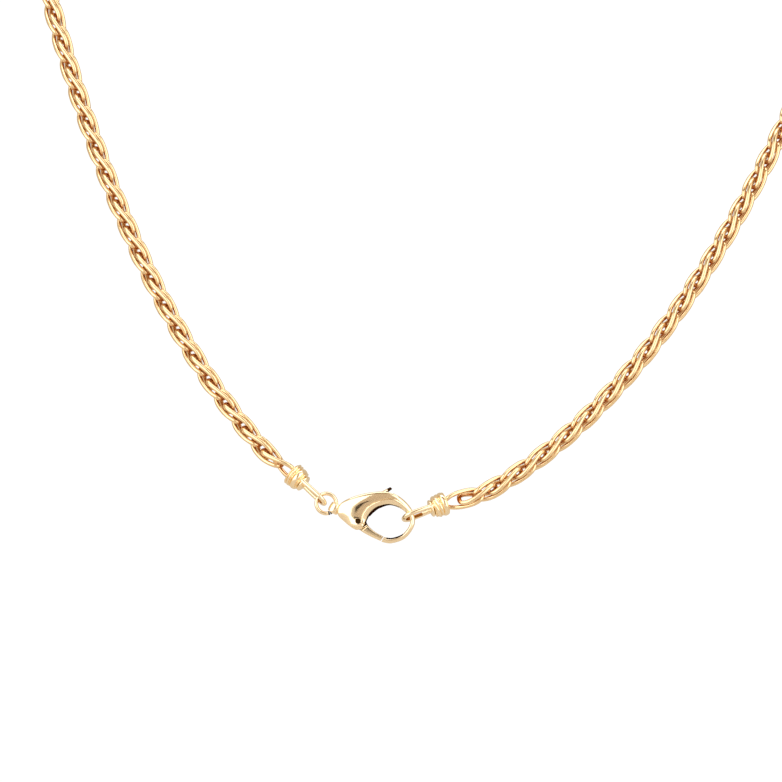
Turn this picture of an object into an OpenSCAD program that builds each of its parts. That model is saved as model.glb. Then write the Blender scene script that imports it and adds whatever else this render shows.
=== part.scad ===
// Wheat chain necklace with a lobster clasp, hanging closed as it is worn.
// The origin is the middle of the chain at the nape. X runs to the viewer's right,
// Y away from the viewer, and Z up. The clasp hangs in front, low and central.

/* [Chain] */
// Number of links from one end cap to the other
link_count = 148; // [144:2:152]
// Diameter of the wire of a link
wire_d = 0.84; // [0.8:0.01:0.86]
// Distance from the middle of the chain to the middle of the wire at a link's waist
link_reach = 1.4; // [1.36:0.01:1.46]
// How far a link runs past two link pitches
link_extra = 1.5; // [1.4:0.05:1.6]
// Squareness of a link's outline: 2 is an ellipse, higher is fuller
link_fullness = 3; // [2.8:0.1:3.2]
// Turn of a link about the chain from its first bow to its last
link_twist = 90; // [85:1:95]

/* [Hang] */
// Curve radius at the lowest point of each hanging arm
sag = 49; // [48:0.1:50]
// Sideways place of the left arm's lowest point
left_axis = 18.1; // [17:0.1:19]
// Sideways place of the right arm's lowest point
right_axis = -15.9; // [-17:0.1:-15]
// Height of the left arm's base line below the clasp's pin
left_base = 58.1; // [57:0.1:59]
// Height of the right arm's base line below the clasp's pin
right_base = 51.9; // [51:0.1:53]
// Sideways place of the clasp's pin
pin_x = -8.3; // [-9:0.1:-8]
// Lean of the front of the necklace, back from the upright
front_lean = 22; // [18:1:26]
// Lean of the part behind the neck, back from the upright
nape_lean = 60; // [50:1:65]
// Height up the front, along its slope, where the arms start round the neck
join_height = 98; // [94:1:102]
// Height of the nape along the slope
nape_height = 150.4; // [146:0.1:154]
// How long the arms keep their direction above the join
shoulder_pull = 30; // [26:1:34]
// How flat the chain lies across the nape
nape_pull = 45; // [38:1:48]

/* [End caps] */
// Outer diameter of a cap over its ridges
cap_d = 4.46; // [4.3:0.02:4.6]
// Length of a cap
cap_len = 2.7; // [2.6:0.1:3]
// Distance from the middle of a cap to the outer end of its eye
eye_reach = 7.5; // [7.2:0.05:7.5]
// Diameter of the wire of an eye
eye_wire = 0.86; // [0.8:0.02:0.9]
// Inner width of an eye
eye_gap = 2.2; // [2:0.05:2.3]

/* [Clasp] */
// Thickness of the clasp at its thickest point
clasp_thick = 3.4; // [3.2:0.1:3.6]
// Thickness of the lever's plate inside the body
lever_thick = 1.4; // [1.2:0.1:1.5]
// Thickness of the lever's gate outside the body
gate_thick = 2; // [1.6:0.1:2.2]
// Diameter of the pivot pin
pin_d = 1; // [0.9:0.05:1.1]
// Downward slope of the clasp, from its tail to its hook
clasp_droop = 4.5; // [2:0.5:7]
// Diameter of the jump ring, measured to the middle of its wire
ring_d = 3.66; // [3.6:0.02:3.7]
// Diameter of the jump ring's wire
ring_wire = 0.72; // [0.68:0.02:0.74]

/* [Hidden] */
gold = "#E3B778";
pale_gold = "#EBD08C";
smooth = 48;
small = 24;

// Heights along the front's slope are measured from the pin. The sloping front and
// the upright clasp meet at this height.
meet_height = 3;
// Sideways place of the middle of each cap
left_cap_x = -20.07;
right_cap_x = 6.36;
// Next to its cap each arm lies a little above its hanging curve: height and run of that
left_lift = 1.0;
left_lift_run = 6.2;
right_lift = 1.6;
right_lift_run = 9.6;
// Heading of each cap, from the chain towards its eye
left_heading = -41;
right_heading = 205.5;
// Turn of each cap about its own length
left_cap_roll = 12;
right_cap_roll = -8;
// Height up the slope where the fold round the neck ends
fold_end = 133;
// Turn of the clasp about the upright, which lines it up with both eyes
clasp_yaw = -3;
clasp_y = -0.03;

// Hanging arms and the stretch round the neck, flat in the sloping sheet

function sinh(x) = (exp(x) - exp(-x)) / 2;
function cosh(x) = (exp(x) + exp(-x)) / 2;
function acosh(x) = ln(x + sqrt(x * x - 1));
function ease(w) = let(c = max(0, min(1, w))) c * c * (3 - 2 * c);
function left_v(x) = sag * cosh((x - left_axis) / sag) - left_base
    + left_lift * (1 - ease((left_cap_x - x) / left_lift_run));
function right_v(x) = sag * cosh((x - right_axis) / sag) - right_base
    + right_lift * (1 - ease((x - right_cap_x) / right_lift_run));
left_join = left_axis - sag * acosh((join_height + left_base) / sag);
right_join = right_axis + sag * acosh((join_height + right_base) / sag);
left_rise = atan(sinh((left_axis - left_join) / sag));
right_rise = atan(sinh((right_join - right_axis) / sag));

function bezier(p, t) = let(q = 1 - t)
    q * q * q * p[0] + 3 * q * q * t * p[1] + 3 * q * t * t * p[2] + t * t * t * p[3];
nape_left = [[left_join, join_height],
             [left_join, join_height] + shoulder_pull * [-cos(left_rise), sin(left_rise)],
             [-nape_pull, nape_height], [0, nape_height]];
nape_right = [[right_join, join_height],
              [right_join, join_height] + shoulder_pull * [cos(right_rise), sin(right_rise)],
              [nape_pull, nape_height], [0, nape_height]];
arm_steps = 240;
nape_steps = 200;
flat_route = concat(
    [for (i = [0 : arm_steps - 1])
        let(x = left_cap_x + (left_join - left_cap_x) * i / arm_steps) [x, left_v(x)]],
    [for (i = [0 : nape_steps - 1]) bezier(nape_left, i / nape_steps)],
    [for (i = [0 : nape_steps - 1]) bezier(nape_right, 1 - i / nape_steps)],
    [for (i = [0 : arm_steps])
        let(x = right_join + (right_cap_x - right_join) * i / arm_steps) [x, right_v(x)]]);

// The sheet is flat in front, bends back round a roller, and is flat again behind

fold_radius = (fold_end - join_height) / ((nape_lean - front_lean) * PI / 180);
function fold(v) =
    let(front = min(v, join_height) - meet_height,
        turned = max(0, min(v, fold_end) - join_height) / fold_radius * 180 / PI + front_lean,
        behind = max(0, v - fold_end))
    [front * sin(front_lean) + fold_radius * (cos(front_lean) - cos(turned)) + behind * sin(nape_lean),
     meet_height + front * cos(front_lean) + fold_radius * (sin(turned) - sin(front_lean))
        + behind * cos(nape_lean)];
nape_yz = fold(nape_height);
function in_space(p) = let(q = fold(p[1])) [p[0], q[0] - nape_yz[0], q[1] - nape_yz[1]];

// Even samples along the route, each with a place and two cross directions. The
// direction along it is taken between two places a little before and after.

route = [for (p = flat_route) in_space(p)];
route_run = [for (i = 0, s = 0; i < len(route);
                  s = s + (i < len(route) - 1 ? norm(route[i + 1] - route[i]) : 0), i = i + 1) s];
route_len = route_run[len(route) - 1];
step = 0.5;
span = 0.6;
run_x = [for (i = [0 : len(route) - 1]) [route_run[i], route[i][0]]];
run_y = [for (i = [0 : len(route) - 1]) [route_run[i], route[i][1]]];
run_z = [for (i = [0 : len(route) - 1]) [route_run[i], route[i][2]]];
function place(s) = [lookup(s, run_x), lookup(s, run_y), lookup(s, run_z)];
function unit(v) = v / norm(v);
to_viewer = [0, -1, 0];
function frame_at(s) =
    let(t = unit(place(min(s + span, route_len)) - place(max(s - span, 0))),
        n = unit(to_viewer - (to_viewer * t) * t))
    [place(s), cross(t, n), n];
samples = [for (i = [0 : floor(route_len / step)]) frame_at(i * step)];
function blend(s, k) = let(i = max(0, min(len(samples) - 2, floor(s / step))), f = s / step - i)
    samples[i][k] * (1 - f) + samples[i + 1][k] * f;
function at_route(s, y, z) = blend(s, 0) + y * blend(s, 1) + z * blend(s, 2);

// One link: a twisted oval, ten stations round it and five sides round its wire

link_sides = 10;
wire_sides = 5;
// The first and last bow lie this far from the middle of their cap
bow_inset = 0.95;
link_pitch = (route_len - 2 * bow_inset - link_extra) / (link_count + 1);
link_len = 2 * link_pitch + link_extra;
// View rotation of the weave at each share of the route
roll_table = [[0, 75], [0.25, 81], [0.7, 75], [1, 97]];
function signed_pow(x, e) = sign(x) * pow(abs(x), e);
function link_point(t, roll) =
    let(x = link_len / 2 * (1 - signed_pow(cos(t), 2 / link_fullness)),
        r = link_reach * signed_pow(sin(t), 2 / link_fullness),
        a = link_twist * (x / link_len - 0.5) + roll)
    [x, r * cos(a), r * sin(a), a];
function xyz(p) = [p[0], p[1], p[2]];
function wire_ring(t, roll, r) =
    let(c = link_point(t, roll),
        along = unit(xyz(link_point(t + 1, roll)) - xyz(link_point(t - 1, roll))),
        flat = [0, -sin(c[3]), cos(c[3])],
        e1 = unit(flat - (flat * along) * along),
        e2 = cross(along, e1))
    [for (j = [0 : wire_sides - 1])
        xyz(c) + r * (cos(360 * j / wire_sides) * e1 + sin(360 * j / wire_sides) * e2)];
link_faces = [for (k = [0 : link_sides - 1], j = [0 : wire_sides - 1])
    let(k2 = (k + 1) % link_sides, j2 = (j + 1) % wire_sides,
        a = k * wire_sides + j, b = k2 * wire_sides + j,
        c = k2 * wire_sides + j2, d = k * wire_sides + j2)
    each [[a, c, b], [a, d, c]]];

module link(n) {
    start = bow_inset + n * link_pitch;
    roll = 90 * (n % 2) + lookup((start + link_len / 2) / route_len, roll_table);
    rings = [for (k = [0 : link_sides - 1])
        each wire_ring(360 * (k + 0.5) / link_sides, roll, wire_d / 2)];
    polyhedron([for (p = rings) at_route(start + p[0], p[1], p[2])], link_faces);
}

module chain_left() {
    color(gold) for (n = [0 : link_count / 2 - 1]) link(n);
}

module chain_right() {
    color(gold) for (n = [link_count / 2 : link_count - 1]) link(n);
}

// End caps: a ridged cup on the last link, with a long eye soldered to it

groove_depth = 0.38;
cap_core = cap_d / 2 - groove_depth;
ridge_r = cap_len / 6;
ridge_play = 0.01;
eye_root = 0.4;
recess_r = 1.55;
recess_depth = 1;

module on_front(x, v, heading, roll = 0) {
    translate(in_space([x, v])) rotate([90 - front_lean, 0, 0])
        rotate([0, 0, heading]) rotate([roll, 0, 0]) children();
}

module cap_cup() {
    rotate([0, 90, 0]) difference() {
        union() {
            cylinder(h = cap_len, r = cap_core, center = true, $fn = smooth);
            for (i = [-1 : 1]) translate([0, 0, 2 * ridge_r * i])
                rotate_extrude($fn = smooth)
                    translate([cap_d / 2 - ridge_r, 0]) circle(r = ridge_r - ridge_play, $fn = small);
        }
        translate([0, 0, -cap_len / 2 - 1]) cylinder(h = recess_depth + 1, r = recess_r, $fn = smooth);
    }
}

module cap_eye() {
    half = (eye_gap + eye_wire) / 2;
    bend = eye_reach - eye_wire / 2 - half;
    for (side = [-1, 1]) translate([eye_root, 0, side * half])
        rotate([0, 90, 0]) cylinder(h = bend - eye_root, d = eye_wire, $fn = small);
    translate([bend, 0, 0]) rotate([90, 0, 0])
        rotate([0, 0, -90]) rotate_extrude(angle = 180, $fn = smooth)
            translate([half, 0]) circle(d = eye_wire, $fn = small);
}

module end_cap_left() {
    color(pale_gold) on_front(left_cap_x, left_v(left_cap_x), left_heading, left_cap_roll) union() {
        cap_cup();
        cap_eye();
    }
}

module end_cap_right() {
    color(pale_gold) on_front(right_cap_x, right_v(right_cap_x), right_heading, right_cap_roll) union() {
        cap_cup();
        cap_eye();
    }
}

// Clasp frame: X from the tail to the hook, Y up, Z to the viewer, origin at the pin

module clasp_frame() {
    translate([pin_x, clasp_y - nape_yz[0], -nape_yz[1]])
        rotate([0, 0, clasp_yaw]) rotate([90, 0, 0]) rotate([0, 0, -clasp_droop]) children();
}

function curve(p, steps) = [for (i = [0 : len(p) - 2], k = [0 : steps - 1])
    let(a = p[max(0, i - 1)], b = p[i], c = p[i + 1], d = p[min(len(p) - 1, i + 2)], t = k / steps)
    0.5 * (2 * b + (c - a) * t + (2 * a - 5 * b + 4 * c - d) * t * t
        + (3 * b - a - 3 * c + d) * t * t * t)];

// Outside of the body and hook, from the top of the tail over the hook to its tip
back_edge = [[-3.65, 3.0], [-0.5, 4.95], [3.7, 6.05], [6.7, 5.55], [9.4, 3.5], [10.3, 0.9],
             [9.0, -1.9], [6.6, -3.05], [5.2, -3.08]];
// Inside of the hook, from its tip round the opening to the pin's lobe
mouth_edge = [[5.25, -2.45], [6.6, -2.3], [8.6, -1.1], [9.4, 1.1], [8.1, 2.95], [5.6, 3.7],
              [3.6, 2.9], [1.9, 1.05], [1.25, -0.4]];
// Lobe under the pin and the belly back to the tail
belly_edge = [[1.25, -0.4], [0.75, -1.35], [-0.3, -1.62], [-2.3, -0.6], [-4.0, 0.8]];
body_outline = concat(curve(back_edge, 5), [back_edge[8]], curve(mouth_edge, 5),
                      curve(belly_edge, 4), [belly_edge[4]]);
// Room for the lever between the cheeks, from shut to open
slot_outline = [[-1.4, -2.2], [2.5, -2.2], [2.5, 0.9], [1.75, 1.2], [1.85, 2.2], [2.75, 3.5],
                [4.05, 4.75], [5.3, 5.7], [6.2, 6.4], [6.2, 8], [-1.2, 8], [-1.3, 4.2],
                [-1.6, 2], [-1.5, 0.3]];
lens_at = [1, 2];
lens_r = 34;
tail_at = [-4.62, 1.65];
tail_r = 1.05;
tail_hole_at = [-4.7, 1.69];
tail_hole_tilt = 22;
tail_hole_r = 0.64;
slot_play = 0.1;
bore_play = 0.03;
hub_play = 0.08;
// Depth of each end of the pin below the clasp's thickest point
pin_sunk = 0.4;

module lens() {
    intersection_for (side = [-1, 1])
        translate([lens_at[0], lens_at[1], side * (lens_r - clasp_thick / 2)])
            sphere(r = lens_r, $fn = 360);
}

module tail_hole() {
    translate([tail_hole_at[0], tail_hole_at[1], 0]) rotate([0, 0, -tail_hole_tilt])
        rotate([90, 0, 0]) cylinder(h = 4 * tail_r, r = tail_hole_r, center = true, $fn = smooth);
}

module clasp_body() {
    color(pale_gold) clasp_frame() difference() {
        union() {
            intersection() {
                translate([0, 0, -clasp_thick / 2]) linear_extrude(clasp_thick) polygon(body_outline);
                lens();
            }
            translate([tail_at[0], tail_at[1], 0]) sphere(r = tail_r, $fn = smooth);
        }
        tail_hole();
        translate([0, 0, -lever_thick / 2 - slot_play])
            linear_extrude(lever_thick + 2 * slot_play) polygon(slot_outline);
        cylinder(h = 2 * clasp_thick, d = pin_d + 2 * bore_play, center = true, $fn = smooth);
    }
}

// Lever: a hub on the pin, a trigger arm up through the body and a gate to the hook's tip
arm_left = [[-1.05, 0.4], [-0.5, 2.1], [1.0, 4.1], [2.9, 5.55], [4.9, 6.98]];
arm_right = [[5.3, 6.7], [5.15, 6.4], [3.5, 4.75], [2.2, 3.4], [1.35, 2.1], [1.3, 0.2]];
gate_top = [[1.3, 0.2], [2.0, -0.72], [3.2, -1.62], [4.75, -2.32]];
gate_bottom = [[4.7, -2.92], [2.6, -2.35], [0.9, -1.75], [-0.2, -1.14]];
lever_outline = concat(curve(arm_left, 4), [arm_left[4]], curve(arm_right, 4), curve(gate_top, 4),
                       [gate_top[3]], curve(gate_bottom, 4), [gate_bottom[3], [-0.95, -0.65]]);
// The gate is full width only past this distance from the pin, clear of the cheeks
gate_clear_r = 2.45;
// The gate's room, right of the pin and below it
gate_room = [6, 4];

module lever_plate(t) {
    translate([0, 0, -t / 2]) linear_extrude(t) polygon(lever_outline);
}

module clasp_lever() {
    color(pale_gold) clasp_frame() difference() {
        union() {
            lever_plate(lever_thick);
            difference() {
                intersection() {
                    lever_plate(gate_thick);
                    translate([0, -gate_room[1], -gate_thick])
                        cube([gate_room[0], gate_room[1], 2 * gate_thick]);
                }
                cylinder(h = 2 * gate_thick, r = gate_clear_r, center = true, $fn = smooth);
            }
        }
        cylinder(h = 2 * clasp_thick, d = pin_d + 2 * hub_play, center = true, $fn = smooth);
    }
}

module pivot_pin() {
    color(pale_gold) clasp_frame()
        cylinder(h = clasp_thick - 2 * pin_sunk, d = pin_d, center = true, $fn = smooth);
}

// Jump ring, cut once, through the tail of the clasp and the left eye
ring_at = [-6.32, 2.35];
ring_seam = 3;

module jump_ring() {
    color(pale_gold) clasp_frame() translate([ring_at[0], ring_at[1], 0])
        rotate([0, 0, -75 + ring_seam]) rotate_extrude(angle = 360 - ring_seam, $fn = smooth)
            translate([ring_d / 2, 0]) circle(d = ring_wire, $fn = small);
}

chain_left();
chain_right();
end_cap_left();
end_cap_right();
jump_ring();
clasp_body();
clasp_lever();
pivot_pin();
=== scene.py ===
"""Wheat chain necklace of yellow gold with a lobster clasp, hanging closed as it is worn.

Lengths are millimetres until settle() takes a finished piece's mesh to metres. The frame
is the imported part's: X to the viewer's right, Y away from the viewer, Z up, and the
origin at the middle of the chain behind the neck.
"""
import logging
import math
from dataclasses import dataclass, field
from enum import Enum

import bmesh
import bpy
import numpy as np
from mathutils import Matrix


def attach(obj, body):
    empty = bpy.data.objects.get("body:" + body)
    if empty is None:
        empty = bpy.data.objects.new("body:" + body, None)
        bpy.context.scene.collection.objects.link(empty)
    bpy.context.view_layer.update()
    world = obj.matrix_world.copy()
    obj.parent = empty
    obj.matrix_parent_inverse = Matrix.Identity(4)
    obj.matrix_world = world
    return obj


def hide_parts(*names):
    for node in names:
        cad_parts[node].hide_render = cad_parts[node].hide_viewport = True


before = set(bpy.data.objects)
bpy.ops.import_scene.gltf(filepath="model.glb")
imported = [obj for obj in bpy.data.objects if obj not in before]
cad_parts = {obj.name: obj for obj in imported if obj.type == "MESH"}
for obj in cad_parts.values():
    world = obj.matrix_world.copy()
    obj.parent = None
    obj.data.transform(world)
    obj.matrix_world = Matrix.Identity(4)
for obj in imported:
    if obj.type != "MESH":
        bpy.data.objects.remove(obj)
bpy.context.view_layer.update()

LOG = logging.getLogger("necklace")
MM = 0.001
# Points closer than this, in millimetres, are one point
WELD = 1e-4
# The least length, in millimetres, that anything is divided by
TINY = 1e-6
# Edges sharper than this stay crisp
CRISP_DEG = 40
Array = np.ndarray


class Axis(Enum):
    """The axes that a piece is turned about, each as the two coordinates that it mixes."""

    X = (1, 2)
    Z = (0, 1)


class Join(Enum):
    """The ways in which one closed shape works on another."""

    CUT = "DIFFERENCE"
    FUSE = "UNION"


class Body(Enum):
    """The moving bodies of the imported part."""

    NECKLACE = "necklace"
    LEVER = "lever"


class Slot(Enum):
    """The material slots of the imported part."""

    CHAIN = "chain_gold"
    CLASP = "clasp_gold"


class Side(Enum):
    """The two arms of the necklace, as the viewer sees them."""

    LEFT = "left"
    RIGHT = "right"


def unit(v: Array) -> Array:
    """Divides each vector along the last axis by its own length."""
    return v / np.linalg.norm(v, axis=-1, keepdims=True)


def turn(axis: Axis, degrees: float) -> Array:
    """Makes the rotation about one axis by the right-hand rule.

    With c and s the cosine and sine of the angle, the two coordinates i and j that it
    mixes become c i - s j and s i + c j.

    Args:
        axis: The axis turned about.
        degrees: The angle.

    Returns:
        A 3 x 3 matrix that multiplies column vectors.
    """
    c, s = math.cos(math.radians(degrees)), math.sin(math.radians(degrees))
    i, j = axis.value
    matrix = np.eye(3)
    matrix[i, i] = matrix[j, j] = c
    matrix[j, i], matrix[i, j] = s, -s
    return matrix


@dataclass(frozen=True)
class Placement:
    """A turn followed by a shift, from a piece's own frame into the necklace's."""

    matrix: Array
    shift: Array

    def apply(self, points: Array) -> Array:
        """Turns and shifts points whose last axis holds x, y and z."""
        return points @ self.matrix.T + self.shift


def spline(nodes: Array, u: Array) -> Array:
    """Follows the Catmull-Rom curve through a row of nodes.

    Between nodes b and c, with neighbours a and d and the share t of the way from b,
    a point is half of 2b + (c - a)t + (2a - 5b + 4c - d)t^2 + (3b - a - 3c + d)t^3.

    Args:
        nodes: The nodes, one per row. The end nodes count as their own neighbours.
        u: Places along the curve, in nodes from the first.

    Returns:
        One point per place.
    """
    last = len(nodes) - 1
    i = np.clip(np.floor(u).astype(int), 0, last - 1)
    t = (u - i)[..., None]
    a, b, c, d = (nodes[np.clip(i + k, 0, last)] for k in (-1, 0, 1, 2))
    return 0.5 * (2 * b + (c - a) * t + (2 * a - 5 * b + 4 * c - d) * t**2
                  + (3 * b - a - 3 * c + d) * t**3)


def distance_to(line: Array, points: Array) -> Array:
    """Measures how far points lie from a line of straight segments.

    On the segment from a to b the nearest place is a + t(b - a), where t is
    (p - a).(b - a) / |b - a|^2, kept between 0 and 1.

    Args:
        line: The line's corners, one per row.
        points: Flat points in an array of any shape, x and y last.

    Returns:
        Each point's distance from the segment nearest to it.
    """
    start, run = line[:-1], np.diff(line, axis=0)
    rel = points[..., None, :] - start
    t = np.clip((rel * run).sum(-1) / (run * run).sum(-1), 0, 1)
    return np.linalg.norm(rel - t[..., None] * run, axis=-1).min(axis=-1)


def lengths_along(path: Array) -> Array:
    """Gives the length of a path up to each of its points."""
    return np.concatenate([[0], np.cumsum(np.linalg.norm(np.diff(path, axis=0), axis=1))])


def round_angles(count: int) -> Array:
    """Gives angles in even steps round a circle, in radians."""
    return np.linspace(0, 2 * np.pi, count, endpoint=False)


def signed_power(values: Array, power: float) -> Array:
    """Raises the sizes of values to a power and keeps their signs."""
    return np.sign(values) * np.abs(values) ** power


def between(values: Array, low: float, high: float) -> Array:
    """Tells which values lie between two others."""
    return (values > low) & (values < high)


def flat_points(*rows: list[float]) -> Array:
    """Makes a dataclass field that holds flat points, one per row."""
    return field(default_factory=lambda: np.array(rows))


def ease(x: Array, start: float, end: float) -> Array:
    """Rises from 0 at the start to 1 at the end as 3c^2 - 2c^3."""
    c = np.clip((x - start) / (end - start), 0, 1)
    return c * c * (3 - 2 * c)


def roundness(depth: Array, radius: Array | float, power: float = 2) -> Array:
    """Gives the height of a rounded edge, from 0 at the edge to 1 a radius inside it.

    The height is (1 - (1 - depth / radius)^power)^(1 / power), a quarter of a
    superellipse, which is a quarter circle where the power is 2.

    Args:
        depth: How far inside the edge each point lies.
        radius: How far in the rounding reaches.
        power: The fullness of the rounding.

    Returns:
        The share of the full height.
    """
    out = 1 - np.clip(depth / np.maximum(radius, TINY), 0, 1)
    return (1 - out**power) ** (1 / power)


def grid_faces(rows: int, cols: int, closed: bool = False) -> Array:
    """Joins the neighbours on a stack of rings of points with four-sided faces.

    Args:
        rows: The number of rings.
        cols: The number of points in a ring, whose last point joins its first.
        closed: Whether the last ring joins the first.

    Returns:
        The corners of the faces, four in a row.
    """
    i, j = np.divmod(np.arange((rows if closed else rows - 1) * cols), cols)
    i2, j2 = (i + 1) % rows, (j + 1) % cols
    return np.stack([i * cols + j, i * cols + j2, i2 * cols + j2, i2 * cols + j], axis=-1)


@dataclass
class Shell:
    """One closed surface: points in millimetres and four-sided faces."""

    points: Array
    faces: Array

    def placed(self, place: Placement) -> "Shell":
        """Gives the shell turned and shifted into place."""
        return Shell(place.apply(self.points), self.faces)

    def outward(self) -> "Shell":
        """Turns every face the right way round.

        The sum of a.(b x c) over the two triangles of each face is six times the
        volume. Where it is less than nothing, the corners are read backwards.

        Returns:
            The shell with its faces looking outwards.
        """
        a, b, c, d = (self.points[self.faces[:, k]] for k in range(4))
        volume = (a * np.cross(b, c)).sum() + (a * np.cross(c, d)).sum()
        return Shell(self.points, self.faces if volume > 0 else self.faces[:, ::-1])


def lofted(rows: Array, closed: bool = False) -> Shell:
    """Skins closed rings of points.

    Args:
        rows: The rings, shaped rings x points x 3.
        closed: Whether the last ring joins the first, as on a whole ring. If not, a pole
            at the middle of the first and of the last ring closes the ends.

    Returns:
        The closed shell.
    """
    if not closed:
        first, last = (np.broadcast_to(rows[k].mean(axis=0), rows[k].shape) for k in (0, -1))
        rows = np.concatenate([first[None], rows, last[None]])
    count, around = rows.shape[:2]
    return Shell(rows.reshape(-1, 3), grid_faces(count, around, closed)).outward()


def circles(path: Array, along: Array, flat: Array, radius: float, sides: int) -> Array:
    """Stands a circle square to a path at each of its points.

    With e1 the flat direction made square to the path and e2 square to both, a ring is
    the path's point + radius (cos(angle) e1 + sin(angle) e2).

    Args:
        path: Points of the middle line.
        along: The path's direction at each point.
        flat: A direction across the path, one for all the points or one for each.
        radius: The circles' radius.
        sides: Points round a circle.

    Returns:
        The rings, shaped points of the path x sides x 3.
    """
    e1 = unit(flat - (flat * along).sum(-1, keepdims=True) * along)
    e2 = np.cross(along, e1)
    angle = round_angles(sides)[None, :, None]
    return path[:, None] + radius * (np.cos(angle) * e1[:, None] + np.sin(angle) * e2[:, None])


def tube(path: Array, radius: float, flat: Array, sides: int) -> Shell:
    """Carries a circle along a path and closes both ends.

    Args:
        path: Points of the middle line.
        radius: The circle's radius.
        flat: A direction square to the path's plane.
        sides: Points round the circle.

    Returns:
        The closed shell.
    """
    along = unit(np.gradient(path, axis=0))
    return lofted(circles(path, along, flat, radius, sides))


def linear(value: str) -> tuple[float, float, float, float]:
    """Turns an sRGB hex colour into the linear colour that shaders take.

    Each part c is divided by 12.92 up to 0.04045, and is ((c + 0.055) / 1.055)^2.4 above.

    Args:
        value: Six hex digits after a hash sign.

    Returns:
        Linear red, green and blue, and an alpha of 1.
    """
    parts = [int(value[k:k + 2], 16) / 255 for k in (1, 3, 5)]
    return (*(c / 12.92 if c <= 0.04045 else ((c + 0.055) / 1.055) ** 2.4 for c in parts), 1.0)


def add_node(tree: bpy.types.NodeTree, kind: str, values: dict | None = None,
             links: dict | None = None, **settings: object) -> bpy.types.Node:
    """Adds one shader node with its settings, values and incoming links.

    Args:
        tree: The node tree.
        kind: The node's type name.
        values: Constant values by input name.
        links: Output sockets by the name of the input that each one feeds.
        settings: Other properties of the node.

    Returns:
        The new node.
    """
    node = tree.nodes.new(kind)
    for key, value in settings.items():
        setattr(node, key, value)
    for key, value in (values or {}).items():
        node.inputs[key].default_value = value
    for key, socket in (links or {}).items():
        tree.links.new(socket, node.inputs[key])
    return node


@dataclass(frozen=True)
class Gold:
    """Yellow gold alloy, cast, drawn or turned.

    Where it is tumbled and buffed, the eye gets clear reflections, broken up a little by
    the marks of the wheel, and a colour that deepens wherever gold is reflected in gold.
    Real marks are a few hundredths of a millimetre, too fine to show, so they are drawn
    as coarse as they need to be.
    """

    name: str
    colour: str
    roughness: float
    wear_mm: float
    wear_depth_mm: float
    # A darker colour that paints shade where the point attribute is low
    shade_colour: str = ""
    edge_colour: str = "#FFFFFF"
    wear_detail: float = 2.0

    def material(self) -> bpy.types.Material:
        """Builds the metal, with buffing marks as a low bump on Object coordinates.

        Where a shade colour is given, a point attribute runs from that painted shade at 0
        to the plain colour at 1, which paints shade deep between the links.

        Returns:
            The material.
        """
        made = bpy.data.materials.new(self.name)
        made.use_nodes = True
        tree = made.node_tree
        tree.nodes.clear()
        place = add_node(tree, "ShaderNodeTexCoord")
        marks = add_node(tree, "ShaderNodeTexNoise",
                         {"Scale": 1 / (self.wear_mm * MM), "Detail": self.wear_detail},
                         {"Vector": place.outputs["Object"]})
        bump = add_node(tree, "ShaderNodeBump",
                        {"Distance": self.wear_depth_mm * MM, "Strength": 1.0},
                        {"Height": marks.outputs["Fac"]})
        metal = add_node(tree, "ShaderNodeBsdfPrincipled",
                         {"Base Color": linear(self.colour), "Metallic": 1.0,
                          "Roughness": self.roughness,
                          "Specular Tint": linear(self.edge_colour)},
                         {"Normal": bump.outputs["Normal"]})
        # Painted shade: the darker colour deep in the weave, read from the point attribute
        if self.shade_colour:
            weave_shade_fade = add_node(tree, "ShaderNodeAttribute", attribute_name="weave_shade_fade")
            ramp = add_node(tree, "ShaderNodeValToRGB", links={"Fac": weave_shade_fade.outputs["Fac"]})
            ramp.color_ramp.elements[0].color = linear(self.shade_colour)
            ramp.color_ramp.elements[1].color = linear(self.colour)
            tree.links.new(ramp.outputs["Color"], metal.inputs["Base Color"])
        add_node(tree, "ShaderNodeOutputMaterial", links={"Surface": metal.outputs["BSDF"]})
        return made


@dataclass(frozen=True)
class Paint:
    """Matt studio paint or card, which gives the eye an even tone with no gloss."""

    name: str
    colour: str
    roughness: float = 0.9

    def material(self) -> bpy.types.Material:
        """Builds the matt surface.

        Returns:
            The material.
        """
        made = bpy.data.materials.new(self.name)
        made.use_nodes = True
        shader = made.node_tree.nodes["Principled BSDF"]
        shader.inputs["Base Color"].default_value = linear(self.colour)
        shader.inputs["Roughness"].default_value = self.roughness
        return made


def add_object(name: str, data: bpy.types.ID) -> bpy.types.Object:
    """Puts a new object into the scene, at the origin.

    Args:
        name: Its name.
        data: Its mesh, light or camera.

    Returns:
        The object.
    """
    made = bpy.data.objects.new(name, data)
    bpy.context.collection.objects.link(made)
    return made


def make_piece(name: str, shell: Shell, *metals: bpy.types.Material,
               second: Array | None = None) -> bpy.types.Object:
    """Writes a shell into a mesh object at the origin, still in millimetres.

    Points of the shell that coincide, as at its poles, are made one.

    Args:
        name: The object's name.
        shell: The closed surface.
        metals: The piece's materials.
        second: Which faces have the second material, if not all have the first.

    Returns:
        The new object, in the scene.
    """
    mesh = bpy.data.meshes.new(name)
    mesh.from_pydata(shell.points, [], shell.faces)
    for metal in metals:
        mesh.materials.append(metal)
    if second is not None:
        mesh.polygons.foreach_set("material_index", second.astype(int))
    shape = bmesh.new()
    shape.from_mesh(mesh)
    bmesh.ops.remove_doubles(shape, verts=shape.verts, dist=WELD)
    shape.to_mesh(mesh)
    shape.free()
    return add_object(name, mesh)


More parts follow.
